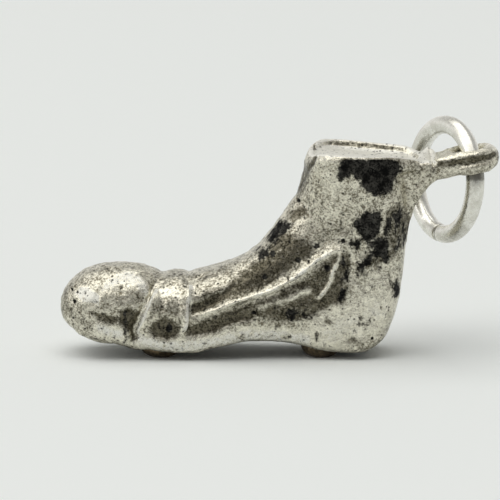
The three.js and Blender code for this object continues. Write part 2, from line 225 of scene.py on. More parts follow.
def patchOf(tree, name, edge):
    ragged, soft = edge
    inputs = {"Field": fieldOf(tree, name), "Ragged": ragged, "Soft": soft}
    return useGroup(tree, raggedEdge, inputs)["Mask"]


def addBump(tree, shader, height, strength, depth):
    inputs = {"Strength": strength, "Distance": depth / 1000, "Height": height}
    tree.links.new(addNode(tree, "ShaderNodeBump", inputs).outputs[0], shader["Normal"])


# Old silver: bright where it is rubbed and where highlights are painted, brown-grey in the hollows and where
# shade is painted, black where it is tarnished
oldSilver = {
    "dull": (0.16, 0.143, 0.10),
    "clean": (0.89, 0.855, 0.72),
    # matte white painted over the brightest places as a painted highlight
    "frostAndPaintedHighlight": (0.88, 0.865, 0.79),
    # brown of patina in the hollows and of painted shade
    "grimeAndPaintedShade": (0.020, 0.018, 0.011),
    "paleGrimeAndShade": (0.095, 0.082, 0.052),
    "tarnish": (0.002, 0.002, 0.0018),
    "tarnishPale": (0.075, 0.072, 0.063),
    "edges": {  # how ragged and how soft the patches of each field end
        "polishAndPaintedHighlight": (2.0, 0.3),
        "grimeAndPaintedShade": (2.8, 0.5),
        "tarnish": (4.4, 0.28),
        "frostAndPaintedHighlight": (1.6, 0.4),
    },
    "tone": {"Mottle": 0.22, "Specks": 0.66},
    "brightLift": 0.6,
    "speckle": (0.0, 0.55, 0.15, 1.0),  # specks that break the painted white highlight, and how much of it they leave
    "solidWhite": (0.5, 0.9),  # strength of the painted white highlight at which its specks are gone
    "grimeAndShadeCover": 0.92,
    "pitCover": 0.8,
    "roughness": {"plain": 0.36, "tone": -0.1, "polishAndPaintedHighlight": -0.08, "dark": 0.3, "frostAndPaintedHighlight": 0.17},
    "metal": {"plain": 1.0, "dark": -0.9, "frostAndPaintedHighlight": -0.6},
    "sheen": 0.06,
    "bump": {"strength": 0.9, "depth": 0.035},  # depth in mm
}


def oldSilverMaterial(setup):
    material, tree, shader = newMaterial("old_silver")
    grain = useGroup(tree, castGrain, {})
    patches = {name: patchOf(tree, name, edge) for name, edge in setup["edges"].items()}
    tone = weigh(tree, *[(grain[name], share) for name, share in setup["tone"].items()])
    lift = calc(tree, "MULTIPLY", patches["polishAndPaintedHighlight"], setup["brightLift"])
    tone = calc(tree, "MULTIPLY_ADD", calc(tree, "SUBTRACT", 1.0, tone), lift, tone)
    colour = blendColour(tree, tone, setup["dull"], setup["clean"])
    speckle = stretch(tree, grain["Specks"], *setup["speckle"])
    solidWhite = stretch(tree, fieldOf(tree, "frostAndPaintedHighlight"), *setup["solidWhite"])
    frostAndPaintedHighlight = calc(tree, "MULTIPLY", patches["frostAndPaintedHighlight"], calc(tree, "MAXIMUM", speckle, solidWhite))
    colour = blendColour(tree, frostAndPaintedHighlight, colour, setup["frostAndPaintedHighlight"])
    brown = blendColour(tree, grain["Specks"], setup["grimeAndPaintedShade"], setup["paleGrimeAndShade"])
    grimeAndPaintedShade = calc(tree, "MULTIPLY", patches["grimeAndPaintedShade"], setup["grimeAndShadeCover"])
    colour = blendColour(tree, grimeAndPaintedShade, colour, brown)
    blotches = calc(tree, "MULTIPLY", grain["Specks"], grain["Mottle"])
    black = blendColour(tree, blotches, setup["tarnish"], setup["tarnishPale"])
    pits = calc(tree, "MULTIPLY", grain["Pits"], setup["pitCover"])
    dark = calc(tree, "MAXIMUM", patches["tarnish"], pits)
    tree.links.new(blendColour(tree, dark, colour, black), shader["Base Color"])
    parts = {"plain": 1.0, "tone": tone, "polishAndPaintedHighlight": patches["polishAndPaintedHighlight"], "dark": dark, "frostAndPaintedHighlight": frostAndPaintedHighlight}
    for label, key in (("Roughness", "roughness"), ("Metallic", "metal")):
        value = weigh(tree, *[(parts[name], share) for name, share in setup[key].items()])
        tree.links.new(value, shader[label])
    shader["Specular IOR Level"].default_value = setup["sheen"]
    addBump(tree, shader, grain["Height"], **setup["bump"])
    return material


# Satin silver of the jump ring
satinSilver = {
    "clean": (0.86, 0.85, 0.79),
    "dull": (0.5, 0.48, 0.41),
    # painted dark reflection of the eye on the wire
    "eyeReflection": (0.10, 0.095, 0.075),
    "grainSize": 1.8,
    "shares": {"Mottle": 0.45, "Specks": 0.15, "Pits": 0.2},
    "eyeReflectionEdge": (1.5, 0.3),
    "eyeReflectionCover": 0.8,
    "roughness": 0.22,
    "speckRoughness": 0.1,
    "bump": {"strength": 0.3, "depth": 0.02},
}


def satinSilverMaterial(setup):
    material, tree, shader = newMaterial("satin_silver")
    grain = useGroup(tree, castGrain, {"Size": setup["grainSize"]})
    share = weigh(tree, *[(grain[name], share) for name, share in setup["shares"].items()])
    colour = blendColour(tree, share, setup["clean"], setup["dull"])
    eyeReflection = calc(tree, "MULTIPLY", patchOf(tree, "eyeReflection", setup["eyeReflectionEdge"]), setup["eyeReflectionCover"])
    tree.links.new(blendColour(tree, eyeReflection, colour, setup["eyeReflection"]), shader["Base Color"])
    shader["Metallic"].default_value = 1.0
    rough = calc(tree, "MULTIPLY_ADD", grain["Specks"], setup["speckRoughness"], setup["roughness"])
    tree.links.new(rough, shader["Roughness"])
    addBump(tree, shader, grain["Height"], **setup["bump"])
    return material


# Dull brass of the studs, darkened as painted shade from the sole above them
brassWithPaintedShade = {
    "clean": (0.21, 0.16, 0.10),
    "dull": (0.034, 0.028, 0.02),
    "grainSize": 1.2,
    "tone": {"Mottle": 0.6, "Specks": 0.4},
    "roughness": 0.42,
    "bump": {"strength": 0.5, "depth": 0.03},
}


def brassWithPaintedShadeMaterial(setup):
    material, tree, shader = newMaterial("brass_with_painted_shade")
    grain = useGroup(tree, castGrain, {"Size": setup["grainSize"]})
    tone = weigh(tree, *[(grain[name], share) for name, share in setup["tone"].items()])
    tree.links.new(blendColour(tree, tone, setup["dull"], setup["clean"]), shader["Base Color"])
    shader["Metallic"].default_value = 1.0
    shader["Roughness"].default_value = setup["roughness"]
    addBump(tree, shader, grain["Height"], **setup["bump"])
    return material


bootSilver = oldSilverMaterial(oldSilver)
ringSilver = satinSilverMaterial(satinSilver)
studBrass = brassWithPaintedShadeMaterial(brassWithPaintedShade)
print("materials built")


# Mesh helpers
evenShare = 0.5  # how far a smoothing round moves a point towards the middle of its neighbours
lumpGrid = 40  # cells each way after which random lumps repeat
softEdge = 0.18  # mm, of outlines that name no softness of their own
bare = -2.0  # strength of a field where its mark is missing


def meshPoints(mesh):
    points = np.empty(len(mesh.vertices) * 3)
    mesh.vertices.foreach_get("co", points)
    return points.reshape(-1, 3)


def meshNormals(mesh, points):
    mesh.vertices.foreach_set("co", points.ravel())
    mesh.update()
    normals = np.empty(len(points) * 3)
    mesh.vertex_normals.foreach_get("vector", normals)
    return normals.reshape(-1, 3)


def spot(points, x, z, radiusX, radiusZ):
    return np.exp(-(((points[:, 0] - x) / radiusX) ** 2) - ((points[:, 2] - z) / radiusZ) ** 2)


# Even skin of small faces over a CAD solid, in mm, with its facets smoothed away
def castSkin(nodeName, setup):
    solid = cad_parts[nodeName].data.copy()
    solid.transform(Matrix.Scale(1000, 4) @ Matrix.Translation(-Vector(bootOrigin)))
    work = bpy.data.objects.new("work", solid)
    scene.collection.objects.link(work)
    remesh = work.modifiers.new("voxels", "REMESH")
    remesh.mode = "VOXEL"
    remesh.voxel_size = setup["voxel"]
    skin = bpy.data.meshes.new_from_object(work.evaluated_get(bpy.context.evaluated_depsgraph_get()))
    bpy.data.objects.remove(work)
    bpy.data.meshes.remove(solid)
    points = meshPoints(skin)
    edges = np.empty(len(skin.edges) * 2, int)
    skin.edges.foreach_get("vertices", edges)
    edges = edges.reshape(-1, 2)
    starts = np.concatenate([edges[:, 0], edges[:, 1]])
    ends = np.concatenate([edges[:, 1], edges[:, 0]])
    count = np.bincount(ends, minlength=len(points))[:, None]

    def smooth(points, share):
        sums = [np.bincount(ends, points[starts, axis], len(points)) for axis in range(3)]
        return points + share * (np.stack(sums, axis=1) / count - points)

    for step in range(setup["rounds"]):
        points = smooth(points, evenShare)
    for joint in setup.get("blends", []):
        share = evenShare * spot(points, *joint["middle"], *joint["reach"])[:, None]
        for step in range(joint["rounds"]):
            points = smooth(points, share)
    return skin, points


# Smooth random heights on a grid of the given size
def lumps(points, size, seed):
    grid = np.random.default_rng(seed).uniform(-1, 1, (lumpGrid, lumpGrid, lumpGrid))
    cell = points / size
    base = np.floor(cell).astype(int)
    part = cell - base
    part = part * part * (3 - 2 * part)
    total = np.zeros(len(points))
    for corner in np.ndindex(2, 2, 2):
        weight = np.prod(np.where(corner, part, 1 - part), axis=1)
        total += weight * grid[tuple(((base + corner) % lumpGrid).T)]
    return total


def lumpLayers(points, layers):
    return sum(height * lumps(points, size, seed) for height, size, seed in layers)


# Distance in side view to a line, in widths of the mark, and the share of the line passed there
def toLine(points, mark):
    flat = points[:, [0, 2]]
    corners = np.array(mark["line"])
    width = mark["width"]
    left, right = width if isinstance(width, tuple) else (width, width)
    reach = np.full(len(flat), np.inf)
    share = np.zeros(len(flat))
    passed = 0.0
    for start, end in zip(corners, corners[1:]):
        run = end - start
        length = np.linalg.norm(run)
        along = np.clip((flat - start) @ run / length**2, 0, 1)
        away = flat - start - along[:, None] * run
        sideWidth = np.where(run[0] * away[:, 1] > run[1] * away[:, 0], left, right)
        found = np.linalg.norm(away, axis=1) / sideWidth
        share = np.where(found < reach, passed + along * length, share)
        reach = np.minimum(reach, found)
        passed += length
    return reach, share / passed


# Depth inside an outline in side view, negative outside it
def depthInside(points, outline):
    flat = points[:, [0, 2]]
    corners = np.array(outline)
    least = np.full(len(flat), np.inf)
    inside = np.zeros(len(flat), bool)
    for start, end in zip(corners, np.roll(corners, -1, axis=0)):
        run = end - start
        along = np.clip((flat - start) @ run / np.dot(run, run), 0, 1)
        least = np.minimum(least, np.linalg.norm(flat - start - along[:, None] * run, axis=1))
        level = (flat[:, 1] - start[1]) / (run[1] or 1.0)
        crossing = (start[1] > flat[:, 1]) != (end[1] > flat[:, 1])
        inside ^= crossing & (flat[:, 0] < start[0] + level * run[0])
    return np.where(inside, least, -least)


# How strongly a mark drawn as a line or as an outline covers each point, from 0 to 1
def cover(points, mark):
    if "outline" in mark:
        soft = mark.get("soft", softEdge)
        return fade(depthInside(points, mark["outline"]), -soft, soft)
    return np.exp(-(toLine(points, mark)[0] ** 2))


# Largest of some round spots, 1 at a spot's middle and 0 from its edge on
def spotField(points, spots):
    field = np.zeros(len(points))
    for x, z, radius in spots:
        reach = np.hypot(points[:, 0] - x, points[:, 2] - z) / radius
        field = np.maximum(field, 1 - reach)
    return field


def dressPiece(name, mesh, material, fields):
    mesh.polygons.foreach_set("use_smooth", np.ones(len(mesh.polygons), bool))
    mesh.update()
    for label, values in fields.items():
        mesh.attributes.new(label, "FLOAT", "POINT").data.foreach_set("value", values.astype(np.float32))
    mesh.materials.clear()
    mesh.materials.append(material)
    piece = bpy.data.objects.new(name, mesh)
    scene.collection.objects.link(piece)
    return piece


def makePiece(name, mesh, points, material, fields):
    mesh.vertices.foreach_set("co", toRow(points).ravel())
    return dressPiece(name, mesh, material, fields)


# Boot casting: folds, hollows, wear, stains, painted shade and painted highlights of the cast surface, as
# (x, z) in side view.
# Two widths are those left and right of a line's direction, two crests the strengths at its start and end
shinLine = [(14.0, 11.1), (13.35, 9.6), (13.1, 9.0), (12.2, 7.9), (11.2, 6.4)]  # crease down the leg
bootSurface = {
    "voxel": 0.05,
    "rounds": 9,
    "blends": [
        {"middle": (18.9, 8.6), "reach": (0.9, 1.2), "rounds": 60},
        {"middle": (18.7, 6.6), "reach": (0.6, 0.8), "rounds": 60},
        {"middle": (18.85, 10.8), "reach": (0.35, 0.3), "rounds": 30},
        {"middle": (17.7, 0.3), "reach": (0.6, 0.5), "rounds": 30},
    ],
    "wobble": {"height": 0.08, "size": 0.45, "seeds": (8, 9, 10), "foldShare": 0.5},  # of what is drawn
    "swell": [(0.03, 1.5, 1)],  # height, size and seed of random lumps
    "grit": [(0.028, 0.7, 2), (0.02, 0.35, 3), (0.009, 0.17, 4)],
    "calm": {"level": (-0.6, -0.3), "loss": 0.6},  # the grit is lower at the rim
    "foldShape": {"mean": 0.9, "lumps": [(0.5, 0.6, 11)], "round": 1.4, "start": 0.15, "finish": 0.85},
    "crestShape": {"mean": 1.1, "lumps": [(0.5, 0.35, 12)], "width": 0.13, "start": 0.1, "finish": 0.92},
    "folds": [
        {
            "line": [
                (5.45, 3.6), (5.3, 3.35), (5.0, 2.9), (4.8, 2.4), (4.6, 2.0), (4.42, 1.55), (4.3, 1.0),
            ],
            "height": 0.3, "width": (0.36, 0.16), "crest": (3.0, 2.4), "round": 2.0, "crestWidth": 0.17,
        },
        {
            "line": [(7.25, 3.8), (7.1, 3.2), (7.0, 2.5), (6.88, 1.7), (6.8, 1.2)],
            "height": 0.3, "width": (0.14, 0.36), "crest": (2.4, 1.8), "round": 2.0, "crestWidth": 0.18,
        },
        {
            "line": [(4.2, 4.3), (4.75, 3.75), (4.95, 3.15)],
            "height": 0.13, "width": (0.16, 0.3), "crest": (1.0, 1.4),
        },
        {
            "line": [
                (7.3, 2.05), (8.5, 2.5), (9.3, 2.9), (11.5, 3.55), (12.8, 4.25), (14.1, 5.25),
                (15.2, 5.9),
            ],
            "height": 0.24, "width": (0.19, 0.1), "crest": (0.5, 2.0), "crestWidth": 0.12,
        },
        {
            "line": [(10.5, 2.5), (12.2, 3.05), (13.2, 3.45), (13.8, 3.6)],
            "height": 0.1, "width": (0.34, 0.19), "crest": (0.4, 0.95), "crestWidth": 0.2,
        },
        {
            "line": [(15.3, 6.2), (15.15, 5.3), (14.8, 4.4), (14.6, 3.85), (14.0, 3.0)],
            "height": 0.16, "width": (0.11, 0.2), "crest": (0.9, 1.5), "crestWidth": 0.11,
        },
    ],
    "welt": {
        "line": [
            (1.2, 1.15), (2.3, 0.8), (3.7, 0.4), (5.0, 0.15), (6.5, 0.05), (8.0, 0.25), (9.5, 0.65),
            (11.0, 0.8), (12.5, 0.65), (14.0, 0.4), (16.0, 0.25), (17.4, 0.4),
        ],
        "height": 0.17, "width": (0.45, 0.25), "facing": (0.1, 0.5),
    },
    "creaseFacing": (0.05, 0.3),
    "creases": [
        {
            "line": [(5.5, 4.4), (5.2, 3.7), (4.6, 2.4), (4.2, 1.5), (4.12, 0.8)],
            "depth": 0.05, "width": 0.13,
        },
        {"line": shinLine, "depth": 0.06, "width": 0.07},
    ],
    # dark marks: patina in the hollows, and painted shade
    "dark": [
        {
            "outline": [
                (3.4, 2.4), (3.8, 2.65), (4.1, 2.4), (4.7, 2.4), (4.3, 1.6), (3.8, 1.4), (3.4, 1.8),
            ],
            "share": 1.8, "depth": 0.1, "soft": 0.25,
        },
        {
            "outline": [(3.85, 1.9), (4.2, 2.0), (4.2, 1.5), (4.15, 0.9), (3.92, 0.8), (3.95, 1.3)],
            "share": 1.5, "depth": 0.08,
        },
        {
            "outline": [(1.7, 2.35), (2.3, 2.35), (3.4, 2.1), (3.2, 1.75), (2.8, 1.7), (2.1, 2.0)],
            "share": 1.1, "depth": 0.05,
        },
        {"line": [(0.5, 2.3), (0.9, 1.95), (1.7, 1.6)], "width": 0.3, "share": 0.55},
        {"line": [(0.15, 2.2), (0.3, 3.0), (0.7, 3.8)], "width": 0.3, "share": 0.5},
        {
            "outline": [
                (5.0, 1.5), (5.3, 1.9), (5.8, 2.1), (6.3, 1.9), (6.6, 1.6), (6.5, 1.2), (5.9, 0.9),
                (5.2, 1.1),
            ],
            "share": 1.6, "depth": 0.12, "soft": 0.28,
        },
        {
            "outline": [
                (4.9, 2.4), (5.2, 2.8), (6.0, 3.2), (6.6, 2.7), (6.8, 2.2), (6.6, 1.8), (5.8, 2.2),
                (4.8, 1.6),
            ],
            "share": 0.45,
        },
        {
            "outline": [
                (7.1, 2.3), (7.2, 2.8), (8.2, 3.25), (9.1, 3.65), (9.6, 3.8), (9.3, 3.2), (8.4, 2.75),
                (7.7, 2.4),
            ],
            "share": 1.6, "depth": 0.1,
        },
        {
            "outline": [
                (8.9, 3.5), (9.3, 4.1), (9.9, 4.5), (10.8, 5.1), (11.4, 5.9), (12.3, 6.8), (13.0, 6.5),
                (13.8, 5.9), (13.7, 5.45), (12.5, 4.62), (11.2, 3.7), (9.3, 3.0),
            ],
            "share": 1.0, "soft": 0.35,
        },
        {
            "outline": [(7.2, 2.5), (7.4, 3.3), (8.7, 3.8), (9.3, 3.6), (9.2, 3.0), (7.6, 2.3)],
            "share": 0.65,
        },
        {
            "outline": [
                (9.7, 4.2), (10.5, 4.9), (11.3, 5.4), (11.9, 5.2), (11.6, 4.4), (10.8, 3.8), (9.8, 3.8),
            ],
            "share": 1.2, "soft": 0.3,
        },
        {
            "outline": [
                (7.0, 1.1), (7.2, 1.7), (9.3, 2.6), (11.4, 3.3), (13.4, 4.3), (15.1, 5.7), (15.8, 5.6),
                (15.5, 3.7), (15.5, 3.1), (13.6, 2.1), (12.1, 1.8), (10.6, 2.1), (8.8, 1.5),
            ],
            "share": 1.0, "soft": 0.3,
        },
        {
            "outline": [
                (7.0, 1.1), (7.0, 1.6), (8.1, 1.95), (9.6, 2.35), (10.7, 2.4), (10.6, 2.1), (9.3, 1.7),
                (7.9, 1.25),
            ],
            "share": 1.4, "depth": 0.1,
        },
        {
            "outline": [
                (12.1, 2.0), (12.5, 2.35), (13.4, 2.35), (14.1, 2.75), (15.6, 3.8), (15.5, 3.1),
                (13.6, 2.15), (12.6, 1.9),
            ],
            "share": 1.35, "depth": 0.05, "soft": 0.26,
        },
        {
            "outline": [(15.15, 3.6), (15.15, 4.3), (15.35, 5.3), (15.8, 5.6), (15.8, 5.0), (15.5, 3.7)],
            "share": 1.1, "depth": 0.05, "soft": 0.3,
        },
        {"line": [(14.2, 6.5), (15.8, 7.4)], "width": 0.5, "share": 0.4},
        {"line": [(7.7, 4.1), (9.4, 4.4)], "width": 0.3, "share": 0.5},
        {"line": [(5.6, 4.2), (7.0, 4.35)], "width": 0.35, "share": 0.5},
        {"outline": [(12.3, 7.2), (13.0, 8.0), (13.5, 8.0), (13.5, 7.6), (12.9, 7.3)], "share": 0.95},
        {"line": shinLine, "width": 0.07, "share": 1.5},
        {
            "outline": [
                (17.5, 7.8), (18.5, 8.2), (19.2, 7.2), (18.9, 6.0), (18.2, 5.2), (16.3, 4.6), (17.3, 6.2),
            ],
            "share": 0.85,
        },
        {"line": [(19.4, 9.9), (20.6, 10.0)], "width": 0.45, "share": 0.45},
        {"line": [(14.5, 1.95), (14.7, 1.85)], "width": 0.16, "share": 0.8},
        {"line": [(15.8, 0.9), (16.5, 0.6)], "width": 0.22, "share": 0.65},
    ],
    # bright marks: rubbed wear, and painted highlights such as the toe's arch and the collar's front corner
    "bright": [
        {
            "outline": [
                (2.2, 3.4), (2.5, 3.9), (3.0, 4.2), (3.5, 4.5), (4.1, 4.5), (4.5, 4.1), (5.0, 3.6),
                (4.95, 3.1), (4.7, 3.2), (4.2, 3.7), (3.5, 3.85), (2.9, 3.6),
            ],
            "share": 1.5,
        },
        {
            "outline": [(0.8, 3.3), (1.1, 3.6), (1.7, 3.6), (2.3, 3.3), (2.2, 2.8), (1.3, 2.9)],
            "share": 2.2,
        },
        {"line": [(4.9, 0.75), (6.6, 0.5)], "width": 0.35, "share": 2.0},
        {"line": [(2.9, 2.9), (3.9, 2.9)], "width": 0.5, "share": 0.45},
        {
            "outline": [
                (5.0, 2.8), (5.3, 3.2), (5.6, 3.6), (6.4, 3.9), (6.8, 3.1), (6.6, 2.9), (6.3, 3.3),
                (6.0, 3.3),
            ],
            "share": 1.0,
        },
        {
            "line": [
                (2.3, 1.5), (3.7, 1.1), (4.7, 0.8), (5.8, 0.55), (7.0, 0.55), (8.5, 0.85), (10.4, 1.2),
                (13.5, 0.9),
            ],
            "width": 0.4, "share": 1.65,
        },
        {"line": [(14.6, 1.2), (17.2, 2.4)], "width": 1.4, "share": 1.15},
        {"line": [(16.2, 3.2), (17.6, 4.2)], "width": 0.8, "share": 0.55},
        {"line": [(14.3, 10.3), (14.9, 9.2)], "width": 0.8, "share": 0.6},
        {"line": [(17.7, 8.5), (17.4, 6.6)], "width": 0.1, "share": 0.8},
        {"line": [(15.4, 6.7), (15.8, 7.2)], "width": 0.4, "share": 0.6},
        {"line": [(13.9, 10.8), (14.7, 10.95)], "width": 0.3, "share": 1.2},
    ],
    "scratch": {"line": [(17.75, 8.3), (17.48, 6.6)], "width": 0.065, "loss": 1.3},
    "pitDepth": 0.1,
    "pits": [
        (13.95, 5.95, 0.23), (15.4, 6.3, 0.17), (13.0, 5.2, 0.21), (13.0, 8.25, 0.14), (11.6, 5.5, 0.2),
        (11.15, 4.3, 0.22), (14.55, 4.8, 0.23), (10.6, 2.35, 0.16), (17.0, 0.9, 0.12),
        (0.85, 2.85, 0.14), (1.0, 3.35, 0.1), (0.7, 3.4, 0.09), (0.75, 1.9, 0.1),
    ],
    "stains": [
        {
            "outline": [
                (15.1, 10.0), (15.3, 10.65), (15.8, 10.8), (17.8, 10.7), (18.4, 10.5), (18.45, 10.0),
                (18.15, 9.8), (18.1, 9.3), (17.9, 8.95), (17.1, 8.85), (16.6, 9.1), (16.25, 9.7),
                (15.8, 10.0), (15.2, 9.75),
            ],
        },
        {
            "outline": [
                (16.0, 7.3), (16.3, 7.6), (16.7, 7.8), (17.5, 7.9), (17.35, 7.0), (17.15, 6.3),
                (16.7, 6.1), (16.2, 6.8),
            ],
        },
        {"outline": [(15.8, 6.0), (16.0, 6.3), (16.3, 6.3), (16.2, 5.9)]},
        {
            "outline": [
                (17.6, 7.6), (18.0, 8.0), (18.4, 8.1), (18.4, 7.7), (18.8, 7.6), (19.1, 7.1), (18.9, 6.1),
                (18.5, 5.9), (18.2, 5.3), (17.5, 5.1), (17.3, 5.5), (16.7, 5.0), (16.2, 4.5), (16.3, 5.1),
                (16.8, 5.7), (17.4, 6.3),
            ],
            "thin": 0.96,
        },
        {"outline": [(16.9, 5.6), (17.0, 5.3), (16.5, 4.9), (16.2, 4.45), (16.35, 5.1)]},
        {
            "outline": [(16.9, 6.3), (17.5, 6.4), (17.9, 6.1), (17.8, 5.2), (17.2, 5.3), (16.9, 5.8)],
            "thin": 0.4,
        },
        {"outline": [(18.1, 3.6), (18.3, 3.9), (18.5, 3.6), (18.4, 3.1), (18.2, 3.1)]},
        {
            "outline": [
                (11.4, 6.1), (11.5, 6.6), (11.9, 7.0), (12.7, 7.1), (12.4, 6.7), (12.0, 6.4), (11.7, 6.0),
            ],
        },
        {"outline": [(10.7, 5.3), (10.9, 5.6), (11.4, 5.8), (11.4, 5.4), (10.9, 5.0)], "thin": 0.35},
        {"outline": [(15.3, 5.5), (15.7, 5.5), (15.75, 4.8), (15.5, 4.3), (15.3, 4.5)], "thin": 0.9},
        {"outline": [(15.2, 3.7), (15.6, 3.7), (15.5, 3.1), (15.1, 3.0)], "thin": 0.6},
        {
            "outline": [(12.1, 2.1), (12.3, 2.6), (13.2, 2.6), (13.9, 2.9), (13.7, 2.4), (12.9, 2.1)],
            "thin": 0.7,
        },
        {
            "outline": [(3.5, 2.3), (4.0, 2.5), (4.3, 2.3), (4.2, 1.8), (3.9, 1.4), (3.6, 1.7)],
            "thin": 0.85,
        },
        {"outline": [(5.2, 1.5), (5.6, 1.9), (6.2, 1.8), (6.4, 1.4), (5.8, 1.1)], "thin": 0.82},
    ],
    "stainEdge": {"spread": 0.07, "soft": 0.25, "limits": (-1.5, 1.2)},
    "streaks": {"squash": (1, 1, 0.5), "size": 0.26, "seed": 15, "gain": 1.3, "loss": 0.55, "thinning": 0.6},
    "farStains": {"side": (0, 0.5), "loss": 0.5, "size": 1.1, "seed": 16},  # the far side has fewer
    "halo": {"share": 0.65, "level": (-0.8, 0.1)},  # grime round the stains
    "facing": {"near": (0.15, 0.55), "far": (0.3, 0.7), "pits": (0.1, 0.4), "stains": (0.02, 0.25)},
    "farHeight": 0.5,  # share of the relief that the far side has
    "farShift": (0.5, 0, -0.3),  # the far side's marks lie a little differently
    "heel": {"start": 16.5, "end": 17.6, "top": 1.0, "pull": 0.48},  # the heel's lower corner is rounded off
    "rim": {  # crest of the collar's rim, rubbed bright with a painted highlight along it, and free of stains
        "front": (13.34, 11.2), "slope": -0.055, "level": (-0.1, -0.03), "polishAndPaintedHighlight": 1.4,
        "stainLevel": (-0.2, -0.07), "stainLoss": 2.0,
    },
    "dish": {  # its wall is painted in shade and its floor painted bright as a reflection
        "wallFacing": (0.5, 0.74), "wallFoot": (-0.8, -0.6), "wallTop": (-0.02, -0.06),
        "wallStart": (14.0, 15.0), "paintedWallShade": 0.76,
        "floorFacing": (0.5, 0.8), "floorFoot": (-0.8, -0.65), "floorPaintedReflection": 2.4,
    },
    "spout": {  # hollow from the dish to the tab
        "reach": (18.0, 20.4), "halfWidth": (1.7, 0.7), "depth": 0.2, "edge": (1.0, 0.5), "start": (0, 0.25),
        "finish": (1, 0.7), "facing": (0.2, 0.6), "brightDepth": (0.02, 0.1), "polishAndPaintedHighlight": 1.2,
    },
    "tab": {  # the collar's back goes out over the tab, its near side down and the tab's far side up
        "root": 18.9, "end": 20.63, "top": (9.7, 10.35), "shift": 0.85, "shiftStart": 16.8,
        "drop": (0.12, 0.36), "dropSpan": (17.5, 20.0), "dropSide": (-0.3, 1.6), "dropLevel": (-1.5, -0.3),
        "rise": 0.2, "riseSpan": (19.4, 20.2), "riseSide": (-0.5, 1.0),
    },
    # painted shade on the leg's faces turned towards the toe
    "shin": {"facing": (0.8, 0.94), "foot": (4.8, 5.8), "top": (10.6, 10.0), "grimeAndPaintedShade": 0.85},
    # painted shade on the faces turned down at the sole
    "sole": {"facing": (0.78, 0.94), "top": (2.0, 1.5), "grimeAndPaintedShade": 0.82},
    "levels": {"grimeAndPaintedShade": 0.55, "polishAndPaintedHighlight": 0.5, "frostAndPaintedHighlight": 1.25},  # a field shows where it is stronger than this
}


# Points as the marks see them: a little displaced, so that drawn lines and outlines come out irregular
def markPlaces(points, normals, setup, share=1.0):
    wobble = setup["wobble"]
    moves = np.stack([lumps(points, wobble["size"], seed) for seed in wobble["seeds"]], axis=1)
    places = points + share * wobble["height"] * moves
    return np.where((normals[:, 1] < 0)[:, None], places, places + setup["farShift"])


def overRim(points, setup):
    x, z = setup["rim"]["front"]
    return points[:, 2] - z - (points[:, 0] - x) * setup["rim"]["slope"]


def spoutDepth(points, normals, spout):
    start, end = spout["reach"]
    along = (points[:, 0] - start) / (end - start)
    across = np.abs(points[:, 1]) / np.interp(along, (0, 1), spout["halfWidth"])
    share = fade(across, *spout["edge"]) * fade(along, *spout["start"]) * fade(along, *spout["finish"])
    return spout["depth"] * share * fade(normals[:, 2], *spout["facing"])


def drawOut(points, setup):
    tab = setup["tab"]
    root, end = tab["root"], tab["end"]
    x, y, z = points.T
    high = fade(z, *tab["top"])
    out = tab["shift"] * fade(x, tab["shiftStart"], root) * fade(x, end, root) * high
    dropStart, dropEnd = tab["dropSpan"]
    drop = between(*tab["drop"], fade(x, dropStart, root)) * fade(x, end, dropEnd)
    drop = drop * fade(-y, *tab["dropSide"]) * fade(overRim(points, setup), *tab["dropLevel"])
    riseStart, riseEnd = tab["riseSpan"]
    rise = tab["rise"] * fade(y, *tab["riseSide"]) * fade(x, root, riseStart) * fade(x, end, riseEnd) * high
    return np.stack([x + out, y, z - drop + rise], axis=1)


def roundHeel(points, heel):
    x, y, z = points.T
    pull = heel["pull"] * fade(z, heel["top"], 0) * fade(x, heel["start"], heel["end"])
    return np.stack([x - pull, y, z], axis=1)


def bootHeights(points, normals, setup):
    facing = setup["facing"]
    side = np.abs(normals[:, 1])
    onSide = fade(-normals[:, 1], *facing["near"]) + setup["farHeight"] * fade(normals[:, 1], *facing["far"])
    places = markPlaces(points, normals, setup)
    foldPlaces = markPlaces(points, normals, setup, setup["wobble"]["foldShare"])
    calm = setup["calm"]["loss"] * fade(overRim(points, setup), *setup["calm"]["level"])
    height = lumpLayers(points, setup["swell"]) + lumpLayers(points, setup["grit"]) * (1 - calm)
    foldShape = setup["foldShape"]
    uneven = foldShape["mean"] + lumpLayers(points, foldShape["lumps"])
    for fold in setup["folds"]:
        reach, share = toLine(foldPlaces, fold)
        profile = np.exp(-(reach ** fold.get("round", foldShape["round"])))
        ends = fade(share, 0, foldShape["start"]) * fade(share, 1, foldShape["finish"])
        height += fold["height"] * profile * ends * uneven * onSide
    welt = setup["welt"]
    height += welt["height"] * cover(places, welt) * fade(side, *welt["facing"])
    for crease in setup["creases"]:
        height -= crease["depth"] * cover(places, crease) * fade(side, *setup["creaseFacing"])
    for mark in setup["dark"]:
        if "depth" in mark:
            height -= mark["depth"] * cover(places, mark) * onSide
    pits = spotField(points, setup["pits"]) * fade(-normals[:, 1], *facing["pits"])
    return height - setup["pitDepth"] * pits


# Bright lines on the folds' crests: rubbed wear, and painted highlights
def foldCrests(points, normals, setup):
    places = markPlaces(points, normals, setup, setup["wobble"]["foldShare"])
    crestShape = setup["crestShape"]
    uneven = crestShape["mean"] + lumpLayers(points, crestShape["lumps"])
    crests = np.zeros(len(points))
    for fold in setup["folds"]:
        width = fold.get("crestWidth", crestShape["width"])
        reach, share = toLine(places, {**fold, "width": width})
        ends = fade(share, 0, crestShape["start"]) * fade(share, 1, crestShape["finish"])
        bright = between(*fold["crest"], share) * uneven
        crests = np.maximum(crests, bright * np.exp(-(reach**2)) * ends)
    return crests


def markField(places, marks):
    field = np.zeros(len(places))
    for mark in marks:
        field = np.maximum(field, mark["share"] * cover(places, mark))
    return field


